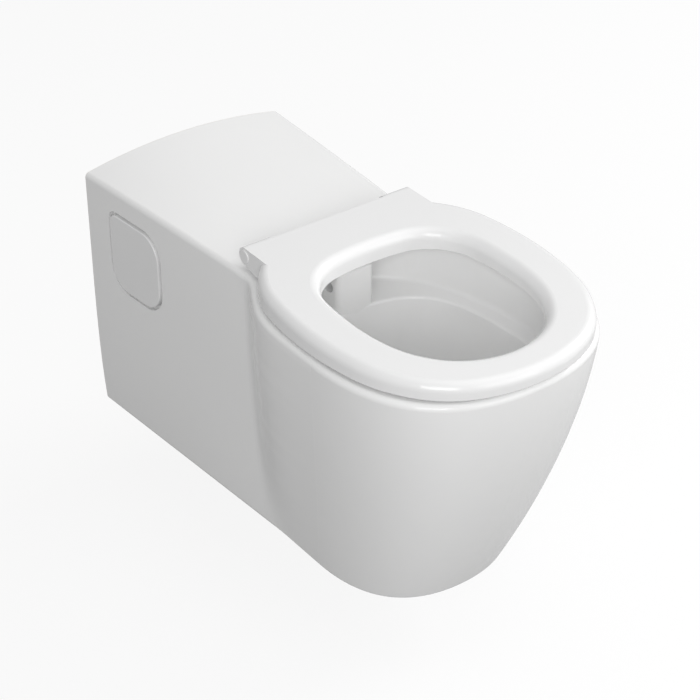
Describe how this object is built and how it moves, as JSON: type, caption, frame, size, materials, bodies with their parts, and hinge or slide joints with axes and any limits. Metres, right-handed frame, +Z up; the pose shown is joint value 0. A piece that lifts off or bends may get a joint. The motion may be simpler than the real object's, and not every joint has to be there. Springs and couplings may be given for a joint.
{
  "type": "wall-hung toilet pan with ring seat",
  "caption": "Long wall-hung toilet pan with an open-rim bowl, arched rear deck, push-in side access covers and a hinged ring seat without a lid.",
  "frame": {"origin": "midway between the two wall studs, on the wall face", "axes": "+Y into the wall, so the front of the pan is at -Y; +Z up; +X to the right of someone facing the wall"},
  "size_m": [0.364, 0.7478, 0.406],
  "materials": {
    "glazed_ceramic": "smooth white glaze",
    "seat_plastic": "polished white thermoset",
    "cap_plastic": "polished white plastic",
    "buffer_rubber": "soft pale grey",
    "seal_rubber": "matt black",
    "hinge_steel": "satin",
    "screw_steel": "plain bright",
    "nut_brass": "turned",
    "bush_plastic": "moulded off-white"
  },
  "bodies": {
    "pan_body": {"pan": "glazed_ceramic", "inlet_seal": "seal_rubber", "left_hinge_post": "hinge_steel", "right_hinge_post": "hinge_steel", "left_hinge_bush": "bush_plastic", "right_hinge_bush": "bush_plastic", "left_hinge_gasket": "buffer_rubber", "right_hinge_gasket": "buffer_rubber", "left_fixing_screw": "screw_steel", "right_fixing_screw": "screw_steel", "left_expansion_sleeve": "seal_rubber", "right_expansion_sleeve": "seal_rubber", "left_cone_nut": "nut_brass", "right_cone_nut": "nut_brass", "left_stud_bush": "bush_plastic", "right_stud_bush": "bush_plastic", "left_stud_washer": "screw_steel", "right_stud_washer": "screw_steel", "left_stud_nut": "screw_steel", "right_stud_nut": "screw_steel"},
    "seat": {"seat_ring": "seat_plastic", "seat_buffers": "buffer_rubber", "left_hinge_pin": "hinge_steel", "right_hinge_pin": "hinge_steel", "left_pin_cap": "cap_plastic", "right_pin_cap": "cap_plastic"},
    "left_cover": {"left_access_cap": "cap_plastic", "left_cap_gasket": "buffer_rubber"},
    "right_cover": {"right_access_cap": "cap_plastic", "right_cap_gasket": "buffer_rubber"}
  },
  "joints": [
    {"name": "seat_hinge", "type": "hinge", "parent": "pan_body", "child": "seat", "pos_m": [0, -0.34, 0.108], "axis": [-1, 0, 0], "range_deg": [0, 100]},
    {"name": "left_cover_pull", "type": "slide", "parent": "pan_body", "child": "left_cover", "axis": [-0.998, -0.0632, 0], "range_m": [0, 0.06]},
    {"name": "right_cover_pull", "type": "slide", "parent": "pan_body", "child": "right_cover", "axis": [0.998, -0.0632, 0], "range_m": [0, 0.06]}
  ]
}
